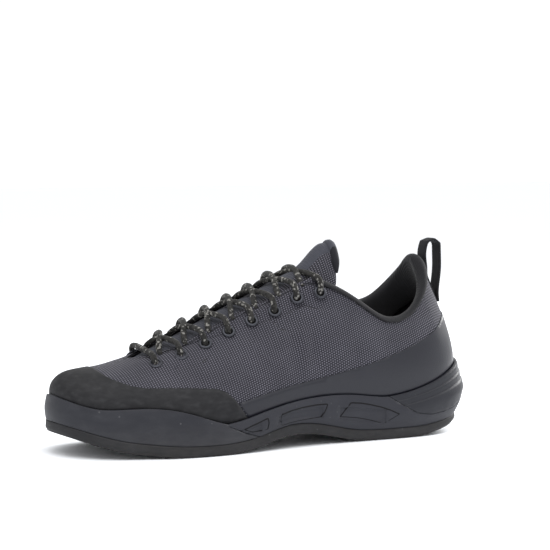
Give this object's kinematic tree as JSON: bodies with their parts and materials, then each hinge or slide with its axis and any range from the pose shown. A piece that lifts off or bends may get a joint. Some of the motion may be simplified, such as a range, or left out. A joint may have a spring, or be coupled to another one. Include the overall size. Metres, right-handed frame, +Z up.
{
  "type": "approach shoe",
  "caption": "Low lace-up approach shoe: hollow woven upper on the curve of the foot, rubber toe bumper, heel clip, foam midsole, lugged outsole, padded collar and webbing pull loop.",
  "frame": {"origin": "on the floor under the middle of the shoe's length and width", "axes": "+X towards the heel, -X towards the toe, -Y the outer (lateral) side, +Z up"},
  "size_m": [0.2964, 0.1009, 0.1294],
  "materials": {
    "outsole_rubber": "matte",
    "midsole_foam": "satin",
    "bumper_rubber": "satin",
    "woven_cloth": "matte",
    "film": "soft sheen",
    "knit": "matte",
    "lace_cord": "matte",
    "eyelet_metal": "dark, satin"
  },
  "bodies": {
    "root": {"outsole": "outsole_rubber", "midsole": "midsole_foam", "toe_bumper": "bumper_rubber", "heel_clip": "bumper_rubber", "upper": "woven_cloth", "toe_cap": "film", "heel_film": "film", "collar": "knit", "tongue": "woven_cloth", "insole": "knit", "pull_loop": "knit", "lace_bar": "lace_cord", "lace_cross_1": "lace_cord", "lace_cross_2": "lace_cord", "lace_cross_3": "lace_cord", "lace_cross_4": "lace_cord", "lace_cross_5": "lace_cord", "lace_cross_6": "lace_cord", "lace_cross_7": "lace_cord", "eyelet_lateral_1": "eyelet_metal", "eyelet_lateral_2": "eyelet_metal", "eyelet_lateral_3": "eyelet_metal", "eyelet_lateral_4": "eyelet_metal", "eyelet_lateral_5": "eyelet_metal", "eyelet_lateral_6": "eyelet_metal", "eyelet_lateral_7": "eyelet_metal", "eyelet_lateral_8": "eyelet_metal", "eyelet_medial_1": "eyelet_metal", "eyelet_medial_2": "eyelet_metal", "eyelet_medial_3": "eyelet_metal", "eyelet_medial_4": "eyelet_metal", "eyelet_medial_5": "eyelet_metal", "eyelet_medial_6": "eyelet_metal", "eyelet_medial_7": "eyelet_metal", "eyelet_medial_8": "eyelet_metal"}
  },
  "joints": []
}
